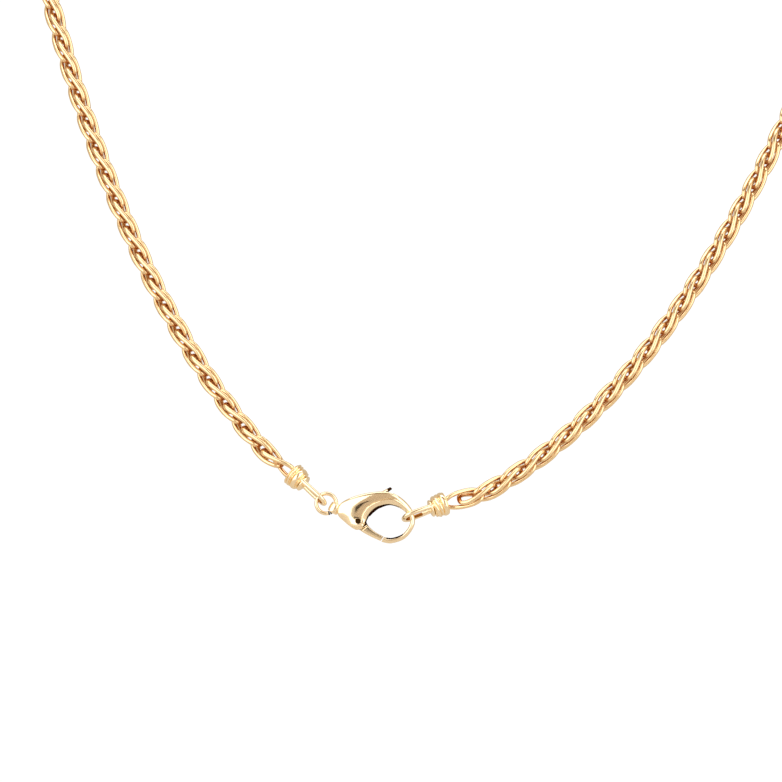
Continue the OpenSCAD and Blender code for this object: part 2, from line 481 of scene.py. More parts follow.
def combine(piece: bpy.types.Object, tool: bpy.types.Object, how: Join) -> None:
    """Cuts a closed shape out of a piece, or fuses it on, and discards the tool.

    Args:
        piece: The piece, whose mesh is replaced.
        tool: The closed shape.
        how: Whether it is cut out or fused on.
    """
    step = piece.modifiers.new("combine", "BOOLEAN")
    step.operation, step.solver, step.object = how.value, "EXACT", tool
    ready = piece.evaluated_get(bpy.context.evaluated_depsgraph_get())
    mesh = bpy.data.meshes.new_from_object(ready)
    piece.modifiers.clear()
    old, piece.data = piece.data, mesh
    bpy.data.meshes.remove(old)
    mesh.name = piece.name
    bpy.data.objects.remove(tool)


def settle(piece: bpy.types.Object, body: Body, slot: Slot, *nodes: str) -> None:
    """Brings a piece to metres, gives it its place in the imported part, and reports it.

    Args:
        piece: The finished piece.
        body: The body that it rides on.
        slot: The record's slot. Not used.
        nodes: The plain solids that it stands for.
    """
    piece.data.transform(Matrix.Scale(MM, 4))
    piece.data.shade_smooth()
    piece.data.set_sharp_from_angle(angle=math.radians(CRISP_DEG))
    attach(piece, body.value)
    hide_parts(*nodes)
    LOG.info("%s: %d faces on %s", piece.name, len(piece.data.polygons), body.value)


@dataclass
class Route:
    """The line that the chain follows: two hanging arms and a stretch behind the neck.

    It is drawn flat first, as x and a height v up the slope measured from the clasp's
    pin. That sheet leans back in front, bends over a roller and lies back further behind.
    """

    # The arms' curves: the sag that both share, their lowest places and their bases
    sag: float = 49
    left_axis: float = 18.1
    right_axis: float = -15.9
    left_base: float = 58.1
    right_base: float = 51.9
    # How far the clasp's pin is from the middle
    pin_x: float = -8.3
    # Degrees that the sheet leans back by, in front and behind
    front_lean: float = 22
    nape_lean: float = 60
    # Heights on the sheet where the arms end and where the nape lies
    join_height: float = 98
    nape_height: float = 150.4
    # How far the curve behind each shoulder is pulled on, at its join and at the nape
    shoulder_pull: float = 30
    nape_pull: float = 45
    # Heights on the sheet where it is as deep as the pin and where its bend ends
    meet_height: float = 3
    fold_end: float = 133
    # The end caps' places, with the chain's lift beside each and the run that it fades over
    left_cap_x: float = -20.07
    right_cap_x: float = 6.36
    left_lift: float = 1.0
    left_lift_run: float = 6.2
    right_lift: float = 1.6
    right_lift_run: float = 9.6
    # Points drawn on each curve, and the samples' spacing with the reach of a direction
    arm_steps: int = 240
    nape_steps: int = 200
    step: float = 0.5
    span: float = 0.6
    nape: Array = field(init=False)
    length: float = field(init=False)
    samples: Array = field(init=False)

    def __post_init__(self) -> None:
        """Measures the route and samples its place and cross directions evenly.

        At each sample t is the direction along the route, n is the direction to the
        viewer made square to t, and d is t x n.
        """
        self.nape = self.fold(np.array([self.nape_height]))[0]
        points = self.in_space(self.flat())
        run = lengths_along(points)
        self.length = run[-1]

        def read(s: Array) -> Array:
            """Reads the drawn points at lengths along the route."""
            return np.stack([np.interp(s, run, points[:, k]) for k in range(3)], axis=-1)

        s = np.arange(math.floor(self.length / self.step) + 1) * self.step
        ahead, behind = np.minimum(s + self.span, self.length), np.maximum(s - self.span, 0)
        t = unit(read(ahead) - read(behind))
        to_viewer = np.array([0, -1, 0])
        n = unit(to_viewer - (t @ to_viewer)[:, None] * t)
        self.samples = np.stack([read(s), np.cross(t, n), n], axis=1)

    def height(self, side: Side, x: Array) -> Array:
        """Gives a hanging arm's height up the slope.

        It is sag cosh((x - axis) / sag) - base, plus a lift that fades out away from
        the end cap.

        Args:
            side: The arm.
            x: Sideways places.

        Returns:
            The heights, measured from the pin.
        """
        if side is Side.LEFT:
            axis, base, lift = self.left_axis, self.left_base, self.left_lift
            away = (self.left_cap_x - x) / self.left_lift_run
        else:
            axis, base, lift = self.right_axis, self.right_base, self.right_lift
            away = (x - self.right_cap_x) / self.right_lift_run
        return self.sag * np.cosh((x - axis) / self.sag) - base + lift * (1 - ease(away, 0, 1))

    def flat(self) -> Array:
        """Draws the route on the flat sheet, from the left cap round to the right cap.

        Behind each shoulder it is the cubic Bezier curve of an arm's join, two pulls and
        the nape.

        Returns:
            Points as x and v.
        """
        reach = [self.sag * math.acosh((self.join_height + base) / self.sag)
                 for base in (self.left_base, self.right_base)]
        rise = [math.atan(math.sinh(r / self.sag)) for r in reach]
        joins = [self.left_axis - reach[0], self.right_axis + reach[1]]
        t = (np.arange(self.nape_steps) / self.nape_steps)[:, None]
        curves = []
        for sign, join, angle in zip((-1, 1), joins, rise):
            a = np.array([join, self.join_height])
            b = a + self.shoulder_pull * np.array([sign * math.cos(angle), math.sin(angle)])
            c = np.array([sign * self.nape_pull, self.nape_height])
            d = np.array([0, self.nape_height])
            w = t if sign < 0 else 1 - t
            q = 1 - w
            curves.append(q**3 * a + 3 * q**2 * w * b + 3 * q * w**2 * c + w**3 * d)
        left = np.linspace(self.left_cap_x, joins[0], self.arm_steps, endpoint=False)
        right = np.linspace(joins[1], self.right_cap_x, self.arm_steps + 1)
        return np.concatenate([np.stack([left, self.height(Side.LEFT, left)], axis=-1), *curves,
                               np.stack([right, self.height(Side.RIGHT, right)], axis=-1)])

    def fold(self, v: Array) -> Array:
        """Bends the sheet: flat in front, round a roller, and flat again behind.

        A flat run f at the lean a adds f sin(a) to the depth and f cos(a) to the height.
        A roller of the radius r between the leans a and b adds r (cos(a) - cos(b)) and
        r (sin(b) - sin(a)).

        Args:
            v: Heights up the slope.

        Returns:
            Depth y and height z from the pin, one pair per height.
        """
        lean, back = math.radians(self.front_lean), math.radians(self.nape_lean)
        radius = (self.fold_end - self.join_height) / (back - lean)
        front = np.minimum(v, self.join_height) - self.meet_height
        turned = lean + np.clip(v - self.join_height, 0, self.fold_end - self.join_height) / radius
        behind = np.maximum(0, v - self.fold_end)
        y = (front * math.sin(lean) + radius * (math.cos(lean) - np.cos(turned))
             + behind * math.sin(back))
        z = (self.meet_height + front * math.cos(lean)
             + radius * (np.sin(turned) - math.sin(lean)) + behind * math.cos(back))
        return np.stack([y, z], axis=-1)

    def in_space(self, flat: Array) -> Array:
        """Takes points of the sheet, x and v, into the necklace's frame."""
        return np.concatenate([flat[:, :1], self.fold(flat[:, 1]) - self.nape], axis=-1)

    def at(self, s: Array, y: Array, z: Array) -> Array:
        """Gives points beside the route: its place + y d + z n, blended between samples.

        Args:
            s: Lengths along the route.
            y: Offsets along d.
            z: Offsets along n.

        Returns:
            Points in the necklace's frame.
        """
        i = np.clip(np.floor(s / self.step).astype(int), 0, len(self.samples) - 2)
        f = (s / self.step - i)[..., None, None]
        here = self.samples[i] * (1 - f) + self.samples[i + 1] * f
        return here[..., 0, :] + y[..., None] * here[..., 1, :] + z[..., None] * here[..., 2, :]


@dataclass
class WheatChain:
    """A round woven chain of twisted oval links, each through the two before it.

    Successive links are a quarter turn apart and one pitch further on. The first half
    of the links hangs on the left and the second half on the right.
    """

    route: Route
    link_count: int = 148
    wire_d: float = 0.84
    # Half a link's width to its wire's middle, and its length beyond two pitches
    reach: float = 1.4
    extra: float = 1.5
    # How square a link's ends are, and the degrees that it is twisted by
    fullness: float = 3
    twist: float = 90
    # How far the outermost links start from the ends of the route
    bow_inset: float = 0.95
    # Circles along a link, points round its wire, and points that its length is measured on
    stations: int = 44
    sides: int = 10
    measured_on: int = 4001
    # Distances from the route where the painted shade deep in the weave starts to fade and where
    # it is gone
    polished: tuple[float, float] = (0.55, 1.3)
    # Shares of the route, and the degrees that the weave is rolled by at each
    roll_shares: tuple[float, ...] = (0, 0.25, 0.7, 1)
    roll_degrees: tuple[float, ...] = (75, 81, 75, 97)

    def wire(self) -> Array:
        """Shapes one link lying along x.

        With t going round, x = L/2 (1 - c) and r = R s, where c and s are cos(t) and
        sin(t) to the power 2/f with their signs kept, f is the fullness, L the length
        and R the reach. The point is [x, r cos(a), r sin(a)] with the angle a running
        with x from minus half the twist to plus half of it. A circle is carried round
        that line.

        Returns:
            Points, shaped stations x sides x 3.
        """
        length = 2 * self.pitch + self.extra

        def middle(t: Array) -> tuple[Array, Array]:
            """Draws the middle line.

            Args:
                t: Places round the link, in radians.

            Returns:
                The line's points, and the angle a at each.
            """
            c, s = (signed_power(v, 2 / self.fullness) for v in (np.cos(t), np.sin(t)))
            x, r = length / 2 * (1 - c), self.reach * s
            a = np.radians(self.twist) * (x / length - 0.5)
            return np.stack([x, r * np.cos(a), r * np.sin(a)], axis=-1), a

        fine = np.linspace(0, 2 * np.pi, self.measured_on)
        run = lengths_along(middle(fine)[0])
        even = (np.arange(self.stations) + 0.5) / self.stations * run[-1]
        centre, a = middle(np.interp(even, run, fine))
        along = unit(np.roll(centre, -1, axis=0) - np.roll(centre, 1, axis=0))
        flat = np.stack([np.zeros_like(a), -np.sin(a), np.cos(a)], axis=-1)
        return circles(centre, along, flat, self.wire_d / 2, self.sides)

    @property
    def pitch(self) -> float:
        """The distance from one link to the next along the route."""
        return (self.route.length - 2 * self.bow_inset - self.extra) / (self.link_count + 1)

    def half(self, side: Side) -> Shell:
        """Threads the links of one side along the route.

        Each link is the shaped wire rolled about x and bent with the route.

        Args:
            side: The side whose links are made.

        Returns:
            All the links as closed rings.
        """
        first = 0 if side is Side.LEFT else self.link_count // 2
        n = np.arange(first, first + self.link_count // 2)
        start = self.bow_inset + n * self.pitch
        share = (start + self.pitch + self.extra / 2) / self.route.length
        roll = np.radians(90 * (n % 2) + np.interp(share, self.roll_shares, self.roll_degrees))
        wire = self.wire()[None]
        c, s = (v[:, None, None] for v in (np.cos(roll), np.sin(roll)))
        y = wire[..., 1] * c - wire[..., 2] * s
        z = wire[..., 1] * s + wire[..., 2] * c
        points = self.route.at(start[:, None, None] + wire[..., 0], y, z)
        ring = grid_faces(self.stations, self.sides, closed=True)
        faces = ring[None] + (np.arange(len(n)) * self.stations * self.sides)[:, None, None]
        return Shell(points.reshape(-1, 3), faces.reshape(-1, 4)).outward()

    def build(self, metal: bpy.types.Material) -> None:
        """Makes both sides of the chain, with the fade of the painted shade stored at each point.

        Args:
            metal: The drawn metal, which reads the stored fade and paints shade deep in the weave.
        """
        # Painted shade: full near the route, fading out towards the links' outer reach
        weave_shade_fade = ease(np.linalg.norm(self.wire()[..., 1:], axis=-1), *self.polished).ravel()
        for side in Side:
            piece = make_piece(f"wheat_links_{side.value}", self.half(side), metal)
            layer = piece.data.attributes.new("weave_shade_fade", "FLOAT", "POINT")
            layer.data.foreach_set("value", np.tile(weave_shade_fade, self.link_count // 2))
            settle(piece, Body.NECKLACE, Slot.CHAIN, f"chain_{side.value}")


@dataclass
class EndCap:
    """A cup wound with wire on the last link, with a long eye soldered into it.

    Its own frame has x from the chain to the eye, and the eye's two bars lie one above
    the other along z.
    """

    route: Route
    side: Side
    # Degrees that it is turned by on the slope, and rolled by round its own length
    heading: float
    roll: float
    # Wires wound side by side, and the times that they pass along the cup
    starts: int
    wraps: float
    # Where the collar starts and ends, and where the painted shade on the eye's inside starts, as
    # shares of the cup's length and of the eye's reach
    collar: tuple[float, float]
    buffed: float
    # The collar's slant, the degrees round the cup where it is nearest to the chain, the
    # run that the wraps fade over beside it, and the fullness of its bulge
    collar_tilt: float = 0.05
    collar_turn: float = 60
    collar_fade: float = 0.07
    collar_fullness: float = 2.6
    # The cup, the share that it is narrower by at the eye's end, and the wraps' height
    outer_d: float = 4.46
    narrow: float = 0.13
    length: float = 2.7
    groove: float = 0.38
    # Shares of the length that both ends are rounded over, and how deep
    rim_share: float = 0.1
    shoulder_share: float = 0.2
    edge_drop: float = 0.12
    # Share of the length that the eye's end is drawn in over, and by what share
    neck_share: float = 0.12
    neck_drop: float = 0.25
    # The recess for the last link, and the rounding of its lip
    recess_r: float = 1.55
    recess: float = 1.0
    lip_round: float = 0.08
    # The eye: its reach from the cup's middle, its wire, the gap between its bars, where
    # it is rooted in the cup, how much the bars close up, and the sine past which a face
    # of its wire looks inwards
    eye_reach: float = 7.5
    eye_wire: float = 0.86
    eye_gap: float = 2.2
    eye_root: float = 0.4
    eye_taper: float = 0.38
    eye_inside: float = 0.6
    bar_points: int = 8
    bend_points: int = 25
    # The boss: its largest and its end radius, half its length, the points of its
    # section, and the last rings' heights above it with their radii
    boss_r: float = 1.62
    boss_seat: float = 1.15
    boss_half: float = 0.3
    boss_points: int = 17
    boss_crown: tuple[tuple[float, float], ...] = ((0.05, 0.8), (0.08, 0.4))
    # Points round the cup, rings along it, and points round the eye's wire
    around: int = 96
    along: int = 110
    sides: int = 16

    def place(self) -> Placement:
        """Puts the cap at its end of the hanging arm, in the slope of the front.

        Returns:
            The turn by the roll, by the heading and into the slope, and the shift.
        """
        x = self.route.left_cap_x if self.side is Side.LEFT else self.route.right_cap_x
        flat = np.array([[x, self.route.height(self.side, np.array(x))]])
        matrix = (turn(Axis.X, 90 - self.route.front_lean) @ turn(Axis.Z, self.heading)
                  @ turn(Axis.X, self.roll))
        return Placement(matrix, self.route.in_space(flat)[0])

    def turned(self, x: Array, radius: Array) -> Array:
        """Revolves a profile round the cup's length.

        At the angle a the point is [x, radius cos(a), radius sin(a)].

        Args:
            x: Places along the cup, one column.
            radius: The radius at each, in one column or one for each angle.

        Returns:
            The rings, shaped places x angles x 3.
        """
        a = round_angles(self.around)
        parts = np.broadcast_arrays(x, radius * np.cos(a), radius * np.sin(a))
        return np.stack(parts, axis=-1)

    def cup(self) -> Shell:
        """Shapes the wound cup.

        Its radius at the share u along it and the angle a round it is core + groove w,
        times a slight narrowing towards the eye. w is the half circle
        sqrt(1 - (2f - 1)^2), where f is the fraction of wraps u - starts a / 360, so
        the wraps climb as they go round. One stretch is a plain bulging collar, set
        askew. Both ends are rounded off, and the chain's end has a round recess. A
        smaller domed boss closes the eye's end. Its section is half an ellipse.

        Returns:
            The closed cup.
        """
        a = round_angles(self.around)[None, :]
        u = ((1 - np.cos(np.pi * np.linspace(0, 1, self.along))) / 2)[:, None]
        phase = self.wraps * u - self.starts * a / (2 * np.pi)
        f = phase - np.floor(phase)
        wrap = np.sqrt(np.clip(1 - (2 * f - 1) ** 2, 0, 1))
        skew = u + self.collar_tilt * np.cos(a - math.radians(self.collar_turn))
        inside = np.minimum(skew - self.collar[0], self.collar[1] - skew)
        bulge = roundness(inside, (self.collar[1] - self.collar[0]) / 2, self.collar_fullness)
        wrap = np.where(inside > 0, bulge, wrap * ease(-inside, 0, self.collar_fade))
        core = self.outer_d / 2 - self.groove
        edge = np.minimum(roundness(u, self.rim_share), roundness(1 - u, self.shoulder_share))
        radius = core - self.edge_drop * (1 - edge) + self.groove * wrap * edge
        radius = radius * (1 - self.narrow * u**2)
        radius = radius * (1 - self.neck_drop * (1 - roundness(1 - u, self.neck_share)))
        wall = self.turned((u - 0.5) * self.length, radius)
        back, front = -self.length / 2, self.length / 2
        floor, r = back + self.recess, self.recess_r
        lip = np.array([[floor, r / 2], [floor, r], [back + self.lip_round, r],
                        [back, r + self.lip_round]])
        t = np.linspace(0, np.pi, self.boss_points)
        dome = np.stack([front + self.boss_half * (1 - np.cos(t)),
                         self.boss_seat + (self.boss_r - self.boss_seat) * np.sin(t)], axis=-1)
        crown = [[front + 2 * self.boss_half + rise, out] for rise, out in self.boss_crown]
        boss = np.concatenate([dome, crown])
        return lofted(np.concatenate([self.turned(lip[:, :1], lip[:, 1:]), wall,
                                      self.turned(boss[:, :1], boss[:, 1:])]))

    def eye(self) -> Shell:
        """Bends the eye: out of the cup, half round, and back in.

        Between the cup and the bend, each bar lies half the bend's width off the
        middle, times 1 - taper s^2, with s the share of the way from the bend back to
        the cup, so the eye is a slim drop.

        Returns:
            The closed wire.
        """
        half = (self.eye_gap + self.eye_wire) / 2
        bend = self.eye_reach - self.eye_wire / 2 - half
        straight = np.linspace(self.eye_root, bend, self.bar_points)[:-1]
        angle = np.linspace(-np.pi / 2, np.pi / 2, self.bend_points)
        x = np.concatenate([straight, bend + half * np.cos(angle), straight[::-1]])
        bar = half * (1 - self.eye_taper * ((bend - straight) / (bend - self.eye_root)) ** 2)
        z = np.concatenate([-bar, half * np.sin(angle), bar[::-1]])
        path = np.stack([x, np.zeros_like(x), z], axis=-1)
        return tube(path, self.eye_wire / 2, np.array([0.0, 1.0, 0.0]), self.sides)

    def build(self, metal: bpy.types.Material, inside: bpy.types.Material) -> None:
        """Makes the cap with its eye.

        Args:
            metal: The polished metal.
            inside: The darker metal that paints shade on the eye's inside round the bend.
        """
        place, eye = self.place(), self.eye()
        # Painted shade: the inward faces of the eye past its bend take the darker metal
        round_wire = (np.arange(len(eye.faces)) % self.sides + 0.5) * 2 * np.pi / self.sides
        far = eye.points[eye.faces].mean(axis=1)[:, 0] > self.buffed * self.eye_reach
        piece = make_piece(f"wound_cap_{self.side.value}", self.cup().placed(place), metal, inside)
        wire = make_piece("eye", eye.placed(place), metal, inside,
                          second=far & (np.sin(round_wire) > self.eye_inside))
        combine(piece, wire, Join.FUSE)
        settle(piece, Body.NECKLACE, Slot.CLASP, f"end_cap_{self.side.value}")


@dataclass
class ClaspFrame:
    """The clasp's own frame, with the sizes that its pieces share.

    Its x runs from the tail to the hook, y up and z to the viewer.
    """

    route: Route
    # Degrees that the clasp is turned by and hangs down by, and its shift in depth
    yaw: float = -3
    droop: float = 4.5
    shift_y: float = -0.03
    lever_thick: float = 1.4
    pin_r: float = 0.5
    rod_sides: int = 48

    def place(self) -> Placement:
        """Puts the frame's origin at the pivot pin.

        Returns:
            The turn by the droop, upright and by the yaw, and the shift to the pin.
        """
        matrix = turn(Axis.Z, self.yaw) @ turn(Axis.X, 90) @ turn(Axis.Z, -self.droop)
        nape = self.route.nape
        return Placement(matrix, np.array([self.route.pin_x, self.shift_y - nape[0], -nape[1]]))

    def prism(self, name: str, outline: Array, half: float) -> bpy.types.Object:
        """Raises a flat outline to both sides of the clasp's middle plane z = 0.

        Args:
            name: The object's name.
            outline: The outline's corners, in order.
            half: How far it is raised each way.

        Returns:
            The new object, in the scene, still in millimetres.
        """
        n = len(outline)
        points = np.concatenate([np.column_stack([outline, np.full(n, z)]) for z in (-half, half)])
        ends = [list(range(n))[::-1], list(range(n, 2 * n))]
        mesh = bpy.data.meshes.new(name)
        mesh.from_pydata(self.place().apply(points), [], ends + grid_faces(2, n).tolist())
        shape = bmesh.new()
        shape.from_mesh(mesh)
        bmesh.ops.recalc_face_normals(shape, faces=shape.faces)
        shape.to_mesh(mesh)
        shape.free()
        return add_object(name, mesh)

    def rod(self, name: str, radius: float, half: float) -> bpy.types.Object:
        """Makes a round rod on the pivot's axis."""
        a = round_angles(self.rod_sides)
        return self.prism(name, radius * np.stack([np.cos(a), np.sin(a)], axis=-1), half)


@dataclass
class Ladder:
    """A flat shape laid out between curves that run side by side, skinned on both faces.

    The curves have as many nodes each and are joined by rungs. Between two curves the
    share is eased as (1 - cos(pi q)) / 2, so that points crowd towards both.
    """

    rails: list[Array]
    across: tuple[int, ...]
    per_node: int

    def grid(self) -> Array:
        """Lays out the flat points.

        Returns:
            The points, shaped rungs x columns x 2.
        """
        last = len(self.rails[0]) - 1
        u = np.linspace(0, last, last * self.per_node + 1)
        curves = [spline(rail, u)[:, None] for rail in self.rails]
        parts = [curves[0]]
        for a, b, count in zip(curves[:-1], curves[1:], self.across):
            w = ((1 - np.cos(np.pi * np.arange(1, count + 1) / count)) / 2)[None, :, None]
            parts.append(a * (1 - w) + b * w)
        return np.concatenate(parts, axis=1)

    def skin(self, flat: Array, half: Array) -> Shell:
        """Raises the grid by its half thickness in front and sinks it as far behind.

        Args:
            flat: The flat points.
            half: Half the thickness at each point.

        Returns:
            The closed shell, one ring round each rung.
        """
        front = np.concatenate([flat, half[..., None]], axis=-1)
        behind = np.concatenate([flat, -half[..., None]], axis=-1)[:, ::-1]
        return lofted(np.concatenate([front, behind], axis=1))

    def face_places(self, flat: Array) -> tuple[Array, Array]:
        """Tells where each face of the skin lies.

        Args:
            flat: The flat points.

        Returns:
            How far along it lies, in nodes, and its column, counted from the first curve
            on both sides.
        """
        rungs, columns = flat.shape[0] + 1, 2 * flat.shape[1]
        rung, column = np.divmod(np.arange(rungs * columns), columns)
        return rung / self.per_node, np.minimum(column, columns - 1 - column)


@dataclass
class ClaspBody:
    """The clasp's body and hook, cast in one, with a rim round the opening.

    The flat shape runs as a ladder from the hook's tip round the opening to the lobe
    under the pin. Its rails are the edge of the opening, the inner wall's lip, the
    outside of the rim, and the back, tail and belly.
    """

    base: ClaspFrame
    # The lens that both faces are cut from: its thickness, radius and middle
    thick: float = 3.4
    lens_r: float = 34
    lens_at: tuple[float, float] = (1, 2)
    # How far in the back and the rim are rounded, and how full each rounding is
    back_round: float = 1.75
    back_fullness: float = 2.3
    rim_round: float = 0.95
    rim_fullness: float = 1.4
    # The step down outside the rim, the distances that it fades out and sets in over, and
    # the groove along it
    rim_step: float = 0.2
    step_fade: float = 1.6
    step_edge: float = 0.06
    rim_groove: float = 0.07
    groove_w: float = 0.08
    # Shares of the full height at the opening's edge, at the lip and at the back's edge
    wall_share: float = 0.3
    lip_share: float = 0.74
    back_wall: float = 0.55
    # Widths over which the hook's bar becomes the body's plate
    bar_to_body: tuple[float, float] = (1.3, 2.4)
    # The lobe under the pin: the nodes where it sets in and is full, the rounding of its
    # edge, and how much its cheeks are filled up
    lobe_from: float = 9.2
    lobe_full: float = 10.6
    lobe_round: float = 0.5
    cheek_share: float = 0.58
    # The tail's eye: its middle, the tilt of its hole, its radii and half its depth, the
    # fullness of its section, and the points round the hole and round the section
    tail_at: tuple[float, float] = (-4.7, 1.69)
    tail_tilt: float = 22
    tail_inner: float = 0.64
    tail_outer: float = 1.02
    tail_half: float = 0.92
    tail_fullness: float = 2.1
    tail_around: int = 64
    tail_sides: int = 32
    # The play of the lever in its slot and of the pin in its bore
    slot_play: float = 0.1
    bore_play: float = 0.03
    mouth: Array = flat_points(
        [5.08, -2.24], [6.6, -2.16], [8.53, -1.02], [9.4, 1.1], [8.1, 2.95], [5.6, 3.7],
        [3.6, 2.9], [2.6, 2.0], [1.9, 1.05], [1.6, 0.4], [1.4, -0.05], [1.27, -0.36],
        [1.2, -0.6], [1.07, -0.86])
    lip: Array = flat_points(
        [5.08, -2.26], [6.6, -2.19], [8.56, -1.05], [9.45, 1.1], [8.12, 2.98], [5.5, 3.88],
        [3.36, 3.27], [2.28, 2.36], [1.62, 1.27], [1.42, 0.5], [1.27, 0.0], [1.17, -0.33],
        [1.12, -0.6], [1.07, -0.86])
    rim: Array = flat_points(
        [4.98, -2.46], [6.6, -2.43], [8.66, -1.26], [9.74, 1.05], [8.9, 3.25], [6.1, 4.9],
        [3.65, 4.3], [1.75, 3.1], [0.95, 1.95], [0.68, 1.1], [0.65, 0.3], [0.68, -0.25],
        [0.82, -0.65], [1.07, -0.86])
    back: Array = flat_points(
        [4.72, -3.2], [6.6, -3.2], [9.0, -1.86], [10.3, 0.9], [9.4, 3.5], [6.7, 5.55],
        [3.7, 6.0], [-0.55, 4.78], [-3.6, 2.82], [-3.98, 0.8], [-2.3, -0.6], [-0.3, -1.62],
        [0.72, -1.35], [1.07, -0.86])
    slot_outline: Array = flat_points(
        [-1.4, -2.2], [2.5, -2.2], [2.5, 0.9], [1.75, 1.2], [1.85, 2.2], [2.75, 3.5],
        [4.05, 4.75], [5.3, 5.7], [6.2, 6.4], [6.2, 8], [-1.2, 8], [-1.3, 4.2], [-1.6, 2],
        [-1.5, 0.3])
    # Columns between the rails, rungs to a node, and points on a rail to measure from
    columns: tuple[int, ...] = (6, 16, 30)
    per_node: int = 20
    measured_on: int = 400
    # Nodes where the painted shade on the opening's inner wall and inside the hook's tip starts
    # and ends
    wall_shade_nodes: tuple[float, float] = (4, 10.5)
    tip_shade_nodes: tuple[float, float] = (0.4, 1.95)

    def half_height(self, flat: Array) -> Array:
        """Works out half the thickness of the cast shape.

        The thickest it gets is the lens sqrt(R^2 - d^2) - (R - thick / 2), with d the
        distance from the lens's middle. The body keeps a low wall at both edges, while
        the hook is rounded off to a bar. Outside the rim the face is a step lower, and
        the step fades out away from it. The rim ends in the plain lobe under the pin.

        Args:
            flat: The ladder's points.

        Returns:
            The half thickness at each point.
        """
        middle = np.linalg.norm(flat - np.array(self.lens_at), axis=-1)
        lens = np.sqrt(self.lens_r**2 - middle**2) - (self.lens_r - self.thick / 2)
        width = np.linalg.norm(flat[:, -1] - flat[:, 0], axis=-1)[:, None]
        body = ease(width, *self.bar_to_body)
        u = np.linspace(0, len(self.back) - 1, self.measured_on)
        to_mouth, to_lip, to_rim, to_back = (
            distance_to(spline(rail, u), flat)
            for rail in (self.mouth, self.lip, self.rim, self.back))
        start, end = self.columns[0], self.columns[0] + self.columns[1]
        index = np.arange(flat.shape[1])[None, :]
        back = roundness(to_back, np.minimum(self.back_round, width / 2), self.back_fullness)
        back = back + (1 - back) * self.back_wall * body
        bar = roundness(to_mouth, width / 2)
        wall = self.wall_share + (self.lip_share - self.wall_share) * (
            to_mouth / np.maximum(to_mouth + to_lip, TINY))
        rim = self.lip_share + (1 - self.lip_share) * roundness(to_lip, self.rim_round,
                                                                self.rim_fullness)
        front = np.where(index <= start, wall, rim)
        along = np.linspace(0, len(self.back) - 1, flat.shape[0])[:, None]
        lobe = ease(along, self.lobe_from, self.lobe_full)
        plain = self.wall_share + (1 - self.wall_share) * roundness(to_mouth, self.lobe_round)
        front = front * (1 - lobe) + plain * lobe
        rounded = back * (front * body + bar * (1 - body))
        rounded = rounded + (1 - rounded) * self.cheek_share * lobe
        groove = self.rim_groove * np.exp(-(to_rim / self.groove_w) ** 2)
        step = self.rim_step * np.exp(-to_rim / self.step_fade) * (index > end)
        step = step * ease(to_rim, 0, self.step_edge)
        return lens * rounded - (groove + step) * rounded * body * (1 - lobe)

    def tail(self) -> Shell:
        """Revolves the tail's eye round its tilted hole, as a bead with a wide bore.

        The section is the superellipse |p / a|^n + |q / b|^n = 1 between the inner and
        the outer radius.

        Returns:
            The closed ring.
        """
        a, t = round_angles(self.tail_around)[:, None], round_angles(self.tail_sides)[None, :]
        p, q = (signed_power(v, 2 / self.tail_fullness) for v in (np.cos(t), np.sin(t)))
        r = (self.tail_outer + self.tail_inner) / 2 + (self.tail_outer - self.tail_inner) / 2 * p
        parts = np.broadcast_arrays(r * np.cos(a), self.tail_half * q, r * np.sin(a))
        tilted = Placement(turn(Axis.Z, -self.tail_tilt), np.array([*self.tail_at, 0]))
        ring = tilted.apply(np.stack(parts, axis=-1))
        return lofted(ring, closed=True).placed(self.base.place())

    def build(self, metal: bpy.types.Material, inside: bpy.types.Material) -> None:
        """Makes the body, fuses on its tail and cuts the lever's slot and the bore.

        Args:
            metal: The polished metal.
            inside: The dark brown metal that paints shade on the opening's inner wall,
                inside the hook's tip and in the slot.
        """
        ladder = Ladder([self.mouth, self.lip, self.rim, self.back], self.columns, self.per_node)
        flat = ladder.grid()
        shape = ladder.skin(flat, self.half_height(flat)).placed(self.base.place())
        along, column = ladder.face_places(flat)
        # Painted shade: dark brown on the opening's inner wall and inside the hook's tip
        wall = (column < self.columns[0]) & between(along, *self.wall_shade_nodes)
        tip = (column < sum(self.columns[:2])) & between(along, *self.tip_shade_nodes)
        piece = make_piece("clasp_hook_and_body", shape, metal, inside, second=wall | tip)
        combine(piece, make_piece("tail", self.tail()), Join.FUSE)
        slot_half = self.base.lever_thick / 2 + self.slot_play
        slot = self.base.prism("slot", self.slot_outline, slot_half)
        # The slot's cut faces take the painted shade as well
        for part in (metal, inside):
            slot.data.materials.append(part)
        slot.data.polygons.foreach_set("material_index", np.ones(len(slot.data.polygons), int))
        combine(piece, slot, Join.CUT)
        bore = self.base.rod("bore", self.base.pin_r + self.bore_play, self.thick)
        combine(piece, bore, Join.CUT)
        settle(piece, Body.NECKLACE, Slot.CLASP, "clasp_body")


